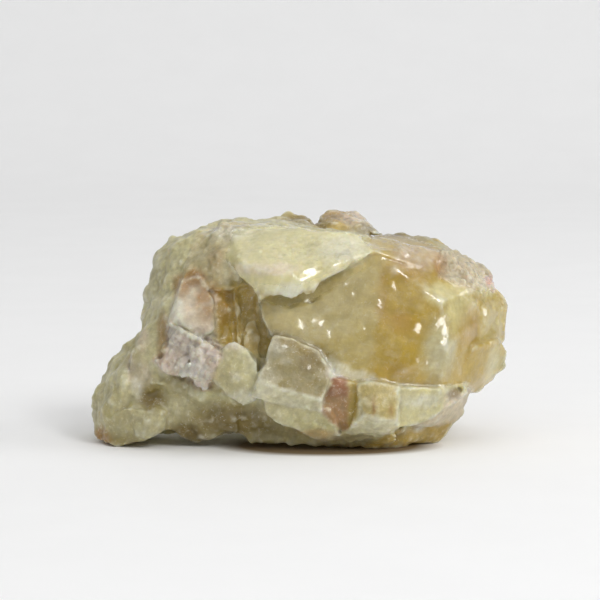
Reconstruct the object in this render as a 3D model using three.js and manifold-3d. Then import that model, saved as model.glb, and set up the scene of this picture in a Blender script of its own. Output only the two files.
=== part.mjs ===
// A rough specimen of green and honey calcite, broken out of a vein and resting on its underside.
// It is one solid: grains of calcite grown into each other, cleaved into blocks along their planes.
// Millimetres, +Z up, +X to the right and -Y towards the viewer of its best side.
// The origin is the middle of its box, on the surface that it rests on.
import * as THREE from "three";
import { ConvexGeometry } from "three/addons/geometries/ConvexGeometry.js";
import { mergeVertices } from "three/addons/utils/BufferGeometryUtils.js";
import Module from "manifold-3d";

// Driving dimensions
const LENGTH = 84; // along X
const CLEAVAGE_ANGLE = THREE.MathUtils.degToRad(101.9); // between two edges of a calcite cleavage block
const LUMP_RELIEF = 0.12; // how uneven a rounded lump is, as a share of its radius
const SHORTEST_EDGE = 0.05; // slivers under this are merged away
const SOCKET_MOUTH = -26; // Y in front of everything, where a socket starts
const SOCKET_NARROWING = 0.8; // width of a socket's floor, as a share of its mouth

const wasm = await Module();
wasm.setup();

// ---------- solids from three.js geometry ----------

function solidOf(geometry) {
  const bare = geometry.index ? geometry.toNonIndexed() : geometry.clone();
  bare.deleteAttribute("normal");
  bare.deleteAttribute("uv");
  const merged = mergeVertices(bare, 1e-4);
  return new wasm.Manifold(
    new wasm.Mesh({
      numProp: 3,
      vertProperties: merged.attributes.position.array,
      triVerts: new Uint32Array(merged.index.array),
    }),
  );
}

function geometryOf(solid) {
  const mesh = solid.getMesh();
  const places = new Float32Array(mesh.numVert * 3);
  for (let i = 0; i < mesh.numVert; i++) {
    places.set(mesh.vertProperties.subarray(i * mesh.numProp, i * mesh.numProp + 3), i * 3);
  }
  const geometry = new THREE.BufferGeometry();
  geometry.setAttribute("position", new THREE.BufferAttribute(places, 3));
  geometry.setIndex(new THREE.BufferAttribute(mesh.triVerts, 1));
  const flat = geometry.toNonIndexed();
  flat.computeVertexNormals();
  return flat;
}

// A broken piece of crystal: the convex body through its corners.
function chunk(corners) {
  return solidOf(new ConvexGeometry(corners.map((c) => new THREE.Vector3(...c))));
}

// A rounded, uneven lump of massive calcite, or the scoop that such a lump leaves.
function lump(centre, radii, phase = 0, detail = 1) {
  const geometry = new THREE.IcosahedronGeometry(1, detail);
  const place = geometry.attributes.position;
  const p = new THREE.Vector3();
  for (let i = 0; i < place.count; i++) {
    p.fromBufferAttribute(place, i);
    const waves = Math.sin(3.1 * p.x + phase) + Math.sin(2.7 * p.y + 1.7 * phase) + Math.sin(3.3 * p.z + 2.3 * phase);
    p.multiplyScalar(1 + (LUMP_RELIEF / 3) * waves);
    place.setXYZ(i, p.x * radii[0] + centre[0], p.y * radii[1] + centre[1], p.z * radii[2] + centre[2]);
  }
  return solidOf(geometry);
}

// The three edge directions of a cleavage block whose first edge runs along `along` and whose
// second lies nearest to `down`. The third points to the back.
function cleavageEdges(along, down) {
  const first = new THREE.Vector3(...along).normalize();
  const cosine = Math.cos(CLEAVAGE_ANGLE);
  const side = new THREE.Vector3(...down);
  side.addScaledVector(first, -side.dot(first)).normalize();
  const second = first.clone().multiplyScalar(cosine).addScaledVector(side, Math.sin(CLEAVAGE_ANGLE));
  const lean = cosine / (1 + cosine);
  const rise = Math.sqrt(1 - lean * lean * (2 + 2 * cosine));
  const normal = first.clone().cross(second).normalize();
  if (normal.y < 0) normal.negate();
  const third = first.clone().add(second).multiplyScalar(lean).addScaledVector(normal, rise);
  return [first, second, third];
}

// A cleavage block that starts at a corner and runs the given lengths along its grain's edges.
function cleavageBlock(corner, lengths, edges) {
  const corners = [];
  for (const i of [0, 1]) {
    for (const j of [0, 1]) {
      for (const k of [0, 1]) {
        const p = new THREE.Vector3(...corner);
        p.addScaledVector(edges[0], i * lengths[0]);
        p.addScaledVector(edges[1], j * lengths[1]);
        p.addScaledVector(edges[2], k * lengths[2]);
        corners.push(p.toArray());
      }
    }
  }
  return chunk(corners);
}

// A socket let into the front: its outline in X and Z, narrowing to its floor at the given Y.
function socket(outline, floor) {
  const middleX = outline.reduce((sum, [x]) => sum + x, 0) / outline.length;
  const middleZ = outline.reduce((sum, [, z]) => sum + z, 0) / outline.length;
  const mouth = outline.map(([x, z]) => [x, SOCKET_MOUTH, z]);
  const foot = outline.map(([x, z]) => [
    middleX + SOCKET_NARROWING * (x - middleX),
    floor,
    middleZ + SOCKET_NARROWING * (z - middleZ),
  ]);
  return chunk([...mouth, ...foot]);
}

function join(solids) {
  return solids.reduce((whole, solid) => whole.add(solid));
}

function carve(solid, hollows) {
  return hollows.reduce((rest, hollow) => rest.subtract(hollow), solid);
}

// ---------- the masses that everything else grows on ----------

const cores = [
  lump([13, 1, 22], [24.5, 15.5, 15.5], 1.1, 2),
  lump([-14, 2, 22], [14.5, 14.5, 18], 2.4, 2),
  lump([-29, -1, 10], [10, 12, 9], 0.7, 2),
  lump([0, 2, 10], [26, 13, 8.5], 0.2, 2),
  lump([-10, 8, 34], [10, 9, 7], 0.9),
];

// The right half: one large honey grain with broad cleavage faces.
const honeyMass = [
  chunk([
    [-8, -14, 33], [-7.6, -15, 29], [-7, -16, 25.5], [-5.6, -17, 23], [-3.2, -18, 21.8], [-0.5, -19, 20.5],
    [6, -19.5, 15.5], [16, -19.5, 13.5], [27.5, -17, 12], [32, -12, 12.5], [15, -14, 38.5], [21, -13, 37],
    [28, -17, 29.5], [29, -18, 21], [36, -7, 31.5], [39.8, -1.5, 30.5], [41.4, 0, 28.6], [42, 0, 27],
    [41.5, 0, 20], [34, -5, 11.5], [40, 8, 28], [41, 9, 25], [38, 11, 15], [20, 14, 8], [-2, 14, 12], [-6, 12, 34], [14, 12, 39], [31, 9, 35.5],
  ]),
  // the block at its right end
  chunk([
    [34.5, -12, 20], [40.3, -5, 21], [41.8, -1.5, 18], [41.2, 0, 14.5], [39.5, 1, 11.5], [34.5, -4, 9.5],
    [31, -11.5, 11], [30, 8, 20], [40, 8, 16], [34, 8, 10],
  ]),
  // the brown ledge above its front face
  chunk([
    [14.5, -6, 41], [19, -6, 40.5], [27.5, -6, 38.5], [28, -10.5, 34.3], [20.5, -14, 37], [15, -14.5, 39],
    [14, 6, 40], [28, 6, 37], [18, 0, 30], [9, -5, 41.2], [10, -12, 38.4],
  ]),
];

// The left half: grey-green massive calcite, rounded, in lobes that run down to the foot.
const greyMass = [
  chunk([
    [-29.5, 0, 34], [-28.5, 2, 37], [-25.5, 3, 40], [-19.5, 4, 42.5], [-15.5, 5, 43.5], [-21, -9, 36.5],
    [-26, -8, 32], [-29, -3, 31], [-30, -2, 29], [-31, -1, 26.5], [-31.3, -2, 24], [-24, -11, 31],
    [-19.5, -6, 41.5], [-27, 12, 33], [-23, 14, 36], [-14, 14, 39], [-27, 12, 24], [-12, 0, 24], [-12, 14, 24],
  ]),
  chunk([
    [-31, -4, 24.5], [-29, -7, 28.5], [-25.5, -10, 31], [-23, -11, 32], [-26, -13, 25], [-28.5, -12.5, 20.5],
    [-26, -14, 19.5], [-31, -5, 21.5], [-32, -12, 16.5], [-30, 10, 24], [-18, 4, 30], [-16, -10, 14],
    [-18, 8, 12], [-27, -15, 12], [-33, -11, 12],
  ]),
  chunk([
    [-31, -4, 22.5], [-34.2, 0, 20.3], [-37.3, 1, 17.5], [-39.5, 0, 14], [-40.8, -1, 11], [-41.6, -2, 8],
    [-42, -3, 5.2], [-41.7, -4, 3], [-40.2, -6, 0.8], [-37, -11, 1.5], [-38, -11, 7], [-34.5, -12.5, 13],
    [-38, 8, 6], [-36, 10, -0.5], [-33, 12, 12], [-30, 8, 20], [-24, 10, 10], [-24, -10, 6],
  ]),
  // the lobe in front, which bears on the table
  chunk([
    [-39.8, -7, 0.2], [-37, -10.5, -0.5], [-33, -12.5, 0.2], [-29, -14, 2.6], [-26, -14, 3.8], [-25.5, -15.5, 8],
    [-29, -16, 9.5], [-34, -14.5, 8.5], [-38, -12, 5.5], [-34, 4, -0.5], [-26, 4, 2], [-28, -6, 11],
    [-38, 2, 0.5],
  ]),
  // the slope from the shoulder down to the recess
  chunk([
    [-22, -10.5, 35.8], [-17, -13.5, 36.8], [-13.5, -15, 37], [-10.5, -14, 34.5], [-12, -12.5, 32], [-16, -13.5, 31.5],
    [-19.5, -12, 33.5], [-23.2, -11.5, 32.5], [-20, -2, 34], [-10, -3, 34], [-14, -2, 31],
  ]),
  // the middle of the underside, set back under the crust
  chunk([
    [-28, -13, 17], [-25.5, -14, 10], [-22.5, -14.5, 11], [-16, -14, 10.5], [-16, -13, 5], [-19.5, -12, 2.6],
    [-22, -11.5, 1.5], [-26, -12.5, 3.6], [-11.5, -11, 2.2], [-6.5, -12.5, 1.5], [-1.5, -13, 0.6],
    [6.5, -13.5, 0.4], [-16, -15, 13], [-6.5, -16, 10], [4, -17, 10], [-28, 10, 6], [-12, 14, 4],
    [10, 14, 3], [8, 12, 20], [-24, 10, 20], [-12, -8, 22],
  ]),
];

// The ridge along the top.
const ridge = [
  chunk([
    [-17, 8, 43], [-11, 8, 44], [-4.7, 8, 43.2], [-3.5, 10, 43.5], [-12, -4, 43], [2, -4, 42.5],
    [-16, 14, 38], [4, 15, 38], [-8, 0, 30], [14, -4, 41], [15, 8, 41], [4, 9, 42.5],
  ]),
  // what fills the gap between it and the upper plate
  chunk([
    [-12.5, -9.5, 42.5], [-6, -10.5, 42.6], [5, -11.2, 42.1], [12, -11.4, 41.5], [14.6, -12, 39.6], [15.2, -3, 40.7],
    [3, -2.6, 42.1], [-12.4, -2.8, 42.4], [-12, -6, 36], [12, -6.2, 36],
  ]),
  // a thin clear plate that stands up behind it
  chunk([
    [-4.7, 9, 43], [-3, 12, 44.1], [-1.6, 14, 44.4], [1.4, 13, 43.8], [3, 11, 43.2], [4.5, 15, 40],
    [-6, 15, 40], [-2, 6, 40], [3, 7, 40],
  ]),
  chunk([
    [18, 7, 40.3], [20, 7, 41], [22.5, 7, 40.4], [25.6, 7, 40.4], [28.6, 6, 39.4], [31.6, 4, 37.6], [33.5, 3, 36.3],
    [15, 2, 40.5], [28, -6, 38], [18, 13, 37], [31, 11, 34.5], [20, 0, 34],
  ]),
  // the rough pinkish wedge at the right shoulder
  chunk([
    [28, -6, 38.2], [28.2, -10.8, 33.6], [31.5, -10, 32.1], [35.5, -7, 31.2], [38.4, -2, 30.6], [38.8, 0, 32.6],
    [37.8, 1, 34.2], [36, 2, 35.4], [33.5, 3, 36.3], [31.6, 4, 37.6], [30, 8, 34], [37, 8, 31], [28, 0, 30],
  ]),
];

// The clear, pinkish crystal on top.
const topCrystal = chunk([
  [4, 8, 43.2], [4.7, 10, 44.2], [6.5, 12, 45], [9.6, 14, 45.2], [12.2, 13.5, 44.8], [13.8, 9, 43.3],
  [15.6, 8, 41.6], [18, 7, 40.3], [4, 16, 41], [13.5, 17, 40.5], [9, 5, 40], [10, 6, 42.5],
]);

// ---------- the recess in the front, and what stands inside it ----------

const recess = [
  socket([[-16.5, 31.5], [-12, 32.5], [-8.2, 32.5], [-7.5, 29], [-7.2, 25.5], [-7.2, 18], [-12, 18.5], [-17, 22]], -9.2),
  socket([[-9, 25.5], [-7.2, 25.5], [-5.6, 23], [-5.6, 17.5], [-9, 18]], -10.4),
  socket([[-6.5, 23.5], [-5.6, 23], [-3.2, 21.8], [-0.5, 20.6], [-4.5, 17.5], [-6.5, 17.5]], -12.2),
];

const recessCrystals = [
  // the brown columns
  chunk([
    [-16, -12.5, 29], [-13, -10.5, 31], [-12, -10, 26], [-11.8, -10.5, 20], [-15.5, -13, 20], [-16, -13, 25],
    [-16, -3, 30], [-11, -3, 31], [-11, -3, 19], [-16, -3, 20],
  ]),
  // the sharp edge between them and the olive face
  chunk([
    [-12.4, -11.6, 31], [-11.6, -12, 27], [-11.4, -12.4, 22], [-11.6, -12.6, 18.5], [-10.4, -9, 18],
    [-12.6, -9.5, 19], [-10.8, -8.5, 31], [-13, -8, 30], [-11.5, -2.5, 25],
  ]),
  // the grey column under the honey face
  chunk([
    [-10.2, -12, 24.8], [-8.2, -11.5, 25.2], [-7.4, -12.5, 21.5], [-7.6, -13, 18], [-10.4, -13.5, 18],
    [-10.6, -13, 21.5], [-9.5, -3.5, 25], [-7, -3.5, 20], [-10, -3.5, 18],
  ]),
];

// ---------- the upper plate, which stands proud of the honey face ----------

const upperPlate = [
  chunk([
    [-12.5, -9, 43], [-6, -10, 43], [-1.5, -10, 43.5], [5, -11, 42.5], [9.5, -11, 42.5], [12, -11, 42],
    [-14, -15, 38], [11, -17, 38], [6, -18.5, 34.5], [3, -19.5, 33], [0.5, -20, 32], [-2.5, -20.5, 31],
    [-6, -20, 32], [-8.5, -19, 32], [-11, -17.5, 34], [-10.5, -19, 37], [-4, -21, 35], [0.5, -21, 33.5],
    [-13, -4, 40], [12, -5, 40], [-9, -9, 34.5], [5, -9, 35.5],
  ]),
  // the tan ledge at its left
  chunk([
    [-19.5, -6, 41.5], [-15, -4, 44], [-11.5, -2, 44], [-7, -2, 44], [0.5, -4, 43], [-16.5, -14, 37],
    [-20, -9, 37.5], [-22, -10, 36], [-12.5, -9, 43], [-14, -15, 38],
    [-18, 6, 40], [0, 6, 42], [-16, -4, 34], [-6, -6, 34],
  ]),
  // the step of its lower edge
  chunk([
    [11, -17, 38], [12, -11, 42], [14.5, -14.5, 38.8], [12.5, -15.8, 37.2], [6, -18.5, 34.5], [6, -12, 36],
    [13, -9, 41],
  ]),
];

// ---------- the pink crystal, the crumbly crust and the round-edged plate ----------

const crust = [
  chunk([
    [-23, -12, 32.5], [-19.5, -11, 34], [-16.5, -14, 29.5], [-16.5, -15, 24], [-18.5, -16, 22],
    [-23.5, -17, 26], [-25.3, -15, 25.5], [-24.5, -14, 28.5], [-22, -5, 33], [-17, -6, 32], [-16, -8, 22],
    [-24, -8, 24],
  ]),
  chunk([
    [-25.5, -15, 25], [-22.5, -18, 24], [-19, -19, 22.5], [-17.5, -19.5, 20], [-20, -18.5, 18],
    [-25, -16, 20.5], [-24, -10, 22], [-18, -10, 20],
  ]),
  chunk([
    [-19, -19, 22.5], [-16.3, -20, 21], [-15, -20, 20], [-16.5, -20.5, 18], [-18.5, -20, 17.5],
    [-20, -18.5, 19], [-18, -12, 20],
  ]),
  chunk([
    [-25.5, -16, 18.5], [-22, -18.5, 18.5], [-20, -19.5, 17], [-21, -19, 14.5], [-23, -17, 14.5],
    [-26, -17, 15.7], [-28, -15, 17.6], [-24, -11, 17],
  ]),
  chunk([
    [-20, -19, 19], [-16.5, -20.5, 18], [-16.5, -19.5, 15], [-18, -18.5, 12.5], [-20, -17.5, 12.5],
    [-21.5, -19, 15], [-18, -12, 16],
  ]),
  // the crumbs between them
  chunk([
    [-26.6, -14.6, 21.2], [-25.2, -16.3, 19.4], [-22.2, -18.1, 19.9], [-19.2, -18.7, 18.7], [-21.6, -17.9, 17.3],
    [-26.4, -15.5, 17.7], [-20.3, -17.6, 21.6], [-25.1, -15.2, 22.1], [-24.2, -8.4, 20.2], [-18.3, -10.4, 20.3],
  ]),
  // what they stand on
  chunk([
    [-26, -13, 24], [-18, -14, 22], [-9, -14, 19], [-5, -14, 18], [-5, -14, 11], [-16, -15, 12], [-26, -13, 16],
    [-22, -4, 20], [-8, -6, 16],
  ]),
  // the round-edged plate
  chunk([
    [-16, -20, 19.5], [-14, -20.5, 21.3], [-12, -20.5, 22], [-9.5, -20.5, 20.5], [-8, -21.5, 18],
    [-7.5, -22.5, 14], [-8.5, -21.5, 10.5], [-10.5, -20.5, 9.5], [-13.5, -20, 11.3], [-16, -20, 13.7],
    [-17, -20, 16], [-12, -22, 16], [-14, -12, 20], [-8, -12, 18], [-8, -12, 11], [-15, -12, 14],
  ]),
];

// ---------- the cleavage blocks along the lower front ----------

const frontBlocks = [
  // the main block, with its bright lower bevel
  chunk([
    [-4.6, -21, 23.4], [-1.3, -21, 22.6], [3.9, -21, 20.5], [6.6, -22, 16.3], [4.6, -24, 11.3],
    [-3, -25, 13], [-7.7, -25, 15], [-9.2, -23.5, 11.5], [-6.5, -23, 10.8], [-1.5, -23, 10.4], [4.5, -22, 8.5],
    [-4, -12, 22], [6, -12, 18], [-8, -12, 12], [5, -12, 9],
  ]),
  // the tier under it
  chunk([
    [-6.6, -22.5, 10.7], [-6.2, -21.5, 7.9], [-4.4, -21, 6.6], [-1.5, -20, 5.1], [3.3, -18, 2.5],
    [8.2, -18, 2.8], [6.5, -22, 9.5], [-4, -12, 8], [4, -10, 3], [8, -10, 10], [-5, -12, 12],
  ]),
  // the reddish face, set back, and the olive one beside it
  chunk([
    [5.5, -20.5, 15.5], [9.5, -19.5, 14.5], [11.8, -20.5, 13.7], [11, -20.5, 5.6], [8.8, -18.5, 4.4],
    [4, -19.5, 8.5], [6, -10, 15], [12, -10, 14], [10, -10, 4],
  ]),
  // the yellow block with a white foot
  chunk([
    [11.6, -21, 13.7], [14.1, -21.8, 14.5], [19.8, -20.8, 13.4], [19.2, -21.5, 6.8], [14.9, -23, 7.4],
    [10.5, -21.5, 6], [12.4, -23, 7.8], [10, -19, 4.2], [17, -19, 3.3], [20, -18, 4],
    [12, -10, 14], [20, -10, 14], [18, -10, 3], [10, -10, 4],
  ]),
  // the pale block that tapers to the right
  chunk([
    [19, -20.5, 13.2], [27.6, -18.5, 12.8], [32.8, -13, 12.5], [33.5, -11.5, 10.9], [30.8, -14, 8.8],
    [27.8, -16, 7.7], [22.8, -18, 5.2], [18, -19, 4.4], [20, -10, 13], [30, -8, 12], [22, -8, 5],
  ]),
  // the greyish strip behind it
  chunk([
    [29.4, -10, 12], [31.2, -9, 12], [33.9, -6, 10.4], [34.3, -4, 8.4], [33.3, -4, 6], [31.3, -5, 4.1],
    [26, -13, 3.9], [29, -14, 8.2], [22, -15, 4], [20, 0, 4], [30, 4, 8],
  ]),
  // the lowest yellow facets
  chunk([
    [8.2, -17.5, 2.9], [10.5, -19.5, 4.6], [17, -19, 3.4], [19.5, -17.5, 3], [15.7, -14, 0.7],
    [10.2, -13, -0.5], [7.3, -13, 0.3], [3.3, -17.5, 2.5], [8, -8, -0.5], [18, -8, -0.5], [8, -8, 6],
  ]),
  // the amber block at the right of the underside
  chunk([
    [17, -14, 2.2], [20, -15, 4], [30.5, -7.5, 4.4], [29.6, -6.5, 2.4], [28.3, -5, 0.3], [25.2, -8, -0.5],
    [18.2, -11, -0.5], [24, 8, -0.5], [12, 9, -0.5], [30, 5, 4], [12, -10, -0.5], [20, 11, 6], [33, 0, 8],
  ]),
];

// ---------- the back: the honey grain cleaves into stairs, the grey mass breaks across ----------

const honeyEdges = cleavageEdges([1, 0.14, -0.16], [0.12, 0.2, -1]);
const greyEdges = cleavageEdges([0.9, -0.35, 0.3], [-0.15, 0.3, -1]);
const back = [
  cleavageBlock([-2, 6, 39], [19, 12, 10], honeyEdges),
  cleavageBlock([17, 5, 35.5], [14, 11, 9], honeyEdges),
  cleavageBlock([3, 5, 31], [23, 13, 18.0], honeyEdges),
  cleavageBlock([27, 4, 26], [11, 9, 12], honeyEdges),
  cleavageBlock([-4, 6, 20], [18, 13, 16], honeyEdges),
  cleavageBlock([15, 6, 19], [17, 10, 12], honeyEdges),
  cleavageBlock([-24, 7, 33], [13, 14, 10], greyEdges),
  cleavageBlock([-20, 9, 24], [13, 12, 10], greyEdges),
  cleavageBlock([-33, 5, 16], [12, 9, 9], greyEdges),
  lump([-23, 8, 15], [10, 9, 11], 1.9),
  lump([-32, 5, 8.5], [8, 8, 8], 3.1),
  lump([-6, 9, 10], [13, 11, 8], 2.2),
  lump([19, 6, 9], [13, 9, 7.5], 4.2),
];

const scoops = [
  lump([-10, 27, 33], [9, 9, 7], 0.5),
  lump([30, 21, 20], [7, 7, 9], 1.4),
  lump([-36, 17, 25], [9, 9, 9], 2.6),
  lump([6, 26, 8], [12, 8, 6], 3.3),
  // two low arches under the front
  lump([-14.5, -9, -1.5], [7.5, 9, 4.7], 1.2),
  lump([-26.6, -10, -1], [3.4, 10, 4.8], 2.1),
];

// ---------- small hollows ----------

const pockets = [
  // the dark pocket between the lobes of the foot
  lump([-30.2, -16, 9], [2.2, 3, 1.6], 0.4),
  lump([-28, -15.5, 11.2], [1.9, 3, 2.2], 1.3),
  // the notch at the right end, between the pale block and the strip
  chunk([
    [30.3, -17, 12.8], [33.6, -15, 12.6], [32.6, -15, 10.1], [31.4, -10.5, 11.4], [30.4, -11, 12.3],
  ]),
];

// The table plane, which leaves flat facets where the stone rests.
function below(height) {
  const slab = new THREE.BoxGeometry(2 * LENGTH, 2 * LENGTH, 20);
  slab.translate(0, 0, height - 10);
  return solidOf(slab);
}

function specimen() {
  const masses = join([...cores, ...honeyMass, ...greyMass, ...ridge, ...back]);
  const broken = carve(masses, [...recess, ...scoops]);
  const grown = join([broken, topCrystal, ...recessCrystals, ...upperPlate, ...crust, ...frontBlocks]);
  const stone = carve(grown, [...pockets, below(0)]).simplify(SHORTEST_EDGE);
  // The outer skin alone, so that no gap stays sealed between the grains inside.
  return stone.decompose().reduce((most, skin) => (skin.volume() > most.volume() ? skin : most));
}

const calcite = new THREE.MeshStandardMaterial({ color: 0xb9ab74, roughness: 0.35, metalness: 0 });
const stone = new THREE.Mesh(geometryOf(specimen()), calcite);
stone.name = "calcite_specimen";

const group = new THREE.Group();
group.add(stone);

export default group;
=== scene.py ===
import math

import bmesh
import bpy
import numpy as np
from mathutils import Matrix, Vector, noise
from mathutils.bvhtree import BVHTree


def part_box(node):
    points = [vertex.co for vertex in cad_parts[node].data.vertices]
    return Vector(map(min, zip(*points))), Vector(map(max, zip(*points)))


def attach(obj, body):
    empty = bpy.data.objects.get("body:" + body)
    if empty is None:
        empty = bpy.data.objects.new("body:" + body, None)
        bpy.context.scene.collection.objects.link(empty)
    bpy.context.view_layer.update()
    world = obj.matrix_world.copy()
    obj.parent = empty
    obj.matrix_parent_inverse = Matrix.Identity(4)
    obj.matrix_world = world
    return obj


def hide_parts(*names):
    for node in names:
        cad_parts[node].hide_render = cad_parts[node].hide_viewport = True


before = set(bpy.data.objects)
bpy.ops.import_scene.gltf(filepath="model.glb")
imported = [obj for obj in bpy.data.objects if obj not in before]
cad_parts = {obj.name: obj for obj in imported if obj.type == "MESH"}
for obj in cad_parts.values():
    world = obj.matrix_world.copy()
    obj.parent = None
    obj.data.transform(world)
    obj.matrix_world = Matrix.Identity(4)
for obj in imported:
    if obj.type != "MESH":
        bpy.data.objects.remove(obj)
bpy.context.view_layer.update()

NODE = "calcite_specimen"
LENGTH = 84  # of the stone, in its own millimetres
low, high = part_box(NODE)
MM = (high.x - low.x) / LENGTH  # one of those millimetres, in metres
LOW = np.array(low) / MM
HIGH = np.array(high) / MM

NET = 0.3  # spacing of the fine net
MOST_TRIANGLES = 190_000

# A calcite cleavage block: the angle between two of its edges
CLEAVAGE_ANGLE = math.radians(101.9)


# ---------- fields: a number for every point of the stone, in millimetres ----------


def smoothstep(value, start, end):
    share = np.clip((value - start) / (end - start), 0, 1)
    return share * share * (3 - 2 * share)


def waves(points, size, seed=0):
    """Soft noise from -1 to 1, with swells about `size` across."""
    scaled = points / size + 17.31 * seed
    return np.array([noise.noise(p) for p in scaled.tolist()])


def cloud(points, size, seed=0):
    """Noise of four sizes, each half the one before."""
    loudest = 1.9
    octaves = (waves(points, size / 2**octave, seed + octave) / 2**octave for octave in range(4))
    return sum(octaves) / loudest


def wander(points, size, reach, seed):
    """A drift of every point, up to `reach` long, that turns over `size`."""
    return reach * np.stack([waves(points, size, seed + axis) for axis in range(3)], axis=1)


def rhombs(points, planes, size, seed=0):
    """Cleavage fragments about `size` across: 0.5 amid one of them, and under 0 between them."""
    scaled = points @ np.array(planes).T / size + 9.7 * seed
    away = (noise.voronoi(p, distance_metric="CHEBYCHEV")[0][0] for p in scaled.tolist())
    return np.array([0.5 - distance for distance in away])


def grain_tones(points, planes, size, seed=0):
    """For every point, a number from 0 to 1 that is the same all over its cleavage fragment."""
    scaled = points @ np.array(planes).T / size + 9.7 * seed
    middles = (noise.voronoi(p, distance_metric="CHEBYCHEV")[1][0] for p in scaled.tolist())
    return np.array([noise.cell(middle * 57.3) for middle in middles])


def cobbles(points, size, seed=0):
    """Rounded grains about `size` across: 0.5 amid one of them, and under 0 between them."""
    scaled = points / size + 5.3 * seed
    return np.array([0.5 - noise.voronoi(p)[0][0] ** 1.5 for p in scaled.tolist()])


def spot(points, centre, radii, blur=0.5):
    """1 inside an ellipsoid and 0 outside it, with a soft border."""
    reach = np.linalg.norm((points - np.array(centre)) / np.array(radii), axis=1)
    return 1 - smoothstep(reach, 1 - blur / 2, 1 + blur / 2)


def outline(points, corners, blur=1.0, front=-40, back=40):
    """1 inside an outline drawn in X and Z, between two depths, with a soft border."""
    across = points[:, 0]
    up = points[:, 2]
    inside = np.zeros(len(points), bool)
    edge = np.full(len(points), np.inf)
    for (x0, z0), (x1, z1) in zip(corners, corners[1:] + corners[:1]):
        squared_length = (x1 - x0) ** 2 + (z1 - z0) ** 2
        along = ((across - x0) * (x1 - x0) + (up - z0) * (z1 - z0)) / squared_length
        along = np.clip(along, 0, 1)
        off = np.hypot(across - x0 - along * (x1 - x0), up - z0 - along * (z1 - z0))
        edge = np.minimum(edge, off)
        if z0 != z1:
            crosses = (z0 > up) != (z1 > up)
            inside ^= crosses & (across < x0 + (up - z0) * (x1 - x0) / (z1 - z0))
    distance = np.where(inside, edge, -edge)
    past_front = smoothstep(points[:, 1], front - 1, front)
    before_back = 1 - smoothstep(points[:, 1], back, back + 2)
    return smoothstep(distance, -blur / 2, blur / 2) * (past_front * before_back)


def rim(points, corners, width=1.2, front=-40, back=40):
    """1 along the line of an outline, and 0 inside and outside it."""
    inside = outline(points, corners, width, front, back)
    return 4 * inside * (1 - inside)


def cleavage_directions(along, down):
    """The normals of the three cleavage planes of a grain, from two of its edges."""
    first = Vector(along).normalized()
    side = Vector(down) - first * first.dot(Vector(down))
    side.normalize()
    cosine = math.cos(CLEAVAGE_ANGLE)
    second = first * cosine + side * math.sin(CLEAVAGE_ANGLE)
    lean = cosine / (1 + cosine)
    rise = math.sqrt(1 - lean * lean * (2 + 2 * cosine))
    third = (first + second) * lean + first.cross(second).normalized() * rise
    edges = ((first, second), (second, third), (third, first))
    return [np.array(a.cross(b).normalized()) for a, b in edges]


HONEY_PLANES = cleavage_directions((1, 0.14, -0.16), (0.12, 0.2, -1))
GREY_PLANES = cleavage_directions((0.9, -0.35, 0.3), (-0.15, 0.3, -1))


def stairs(points, normal, pitch, seed=0):
    """Cleavage steps: a saw of slow rises and sudden drops, from 0 to 1, that wanders a little."""
    drop = 0.14  # the share of each step that is its steep side
    place = points @ normal / pitch + 0.9 * waves(points, size=8, seed=seed)
    place = place + 0.25 * waves(points, size=2.4, seed=seed + 1)
    rise = place - np.floor(place)
    return np.where(rise < 1 - drop, rise / (1 - drop), (1 - rise) / drop)


# ---------- which calcite is where: outlines in X and Z, in millimetres ----------

HONEY_FACE = [
    (-8, 33), (-7, 25.5), (-4, 21), (-0.5, 20.5), (6, 15.5), (16, 13.5), (27.5, 12), (34, 9.5),
    (39.5, 11.5), (41.8, 18), (42.5, 27), (40, 31), (36, 31.5), (28, 34), (28, 38.8), (19, 41),
    (14, 41), (12, 37), (6, 34), (0, 31.5),
]
UPPER_PLATE = [
    (-14, 37.5), (-12.5, 43), (-6, 43.2), (-1.5, 43.6), (5, 42.8), (12, 42.2), (14.6, 38.8),
    (12.5, 37), (6, 34.3), (3, 32.6), (0.5, 31.6), (-2.5, 30.6), (-6, 31.6), (-8.5, 31.6),
    (-11, 33.5),
]
PLATE_RIM = [
    (-10, 30.5), (-2, 28.5), (4, 30.5), (13, 36), (12.5, 38), (5, 34.6), (-1, 32.6), (-7, 33),
]
TAN_SHOULDER = [
    (-22, 36), (-20, 41.5), (-15, 44), (-6, 44.4), (-12.5, 42.6), (-14, 37.5), (-11, 33),
    (-16, 31.5), (-20, 33),
]
PINK_CRYSTAL = [
    (-25.5, 25), (-24.5, 28.5), (-23, 32.8), (-19.5, 34), (-16.2, 30), (-16, 24), (-18.5, 21.5),
    (-23, 24),
]
CRUST = [
    (-28.5, 17.5), (-26, 19.5), (-25.8, 26), (-22.5, 24.5), (-18.5, 22.8), (-15, 21), (-14.6, 19),
    (-16.4, 16), (-17, 12.2), (-20, 12.2), (-23, 14), (-26.5, 15.2),
]
ROUND_PLATE = [
    (-16.4, 19.5), (-14, 21.6), (-12, 22.3), (-9.5, 21), (-7.8, 18), (-7, 14), (-8.3, 10.4),
    (-10.5, 9), (-13.6, 11), (-16.4, 13.6), (-17.2, 16),
]
MAIN_BLOCK = [
    (-4.8, 23.6), (-1.3, 22.9), (3.9, 20.8), (7, 16.3), (5, 11.3), (-3, 13.2), (-7.7, 15.2),
]
MAIN_BEVEL = [
    (-7.8, 15.2), (-3, 13.2), (5, 11.3), (4.8, 8.4), (-1.5, 10), (-6.5, 10.6), (-9.6, 11.4),
]
TIER = [(-6.8, 10.8), (4.8, 8.6), (8.4, 3), (3.3, 2.2), (-1.5, 4.9), (-4.4, 6.4), (-6.4, 7.8)]
RED_BAND = [(5.6, 15.8), (9.5, 14.7), (9.8, 5), (8.6, 4), (4.6, 8.6), (5, 11.5), (6.8, 14)]
OLIVE_BAND = [(9.3, 14.8), (12, 13.9), (11.3, 8), (10.4, 5.6), (9.2, 5)]
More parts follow.
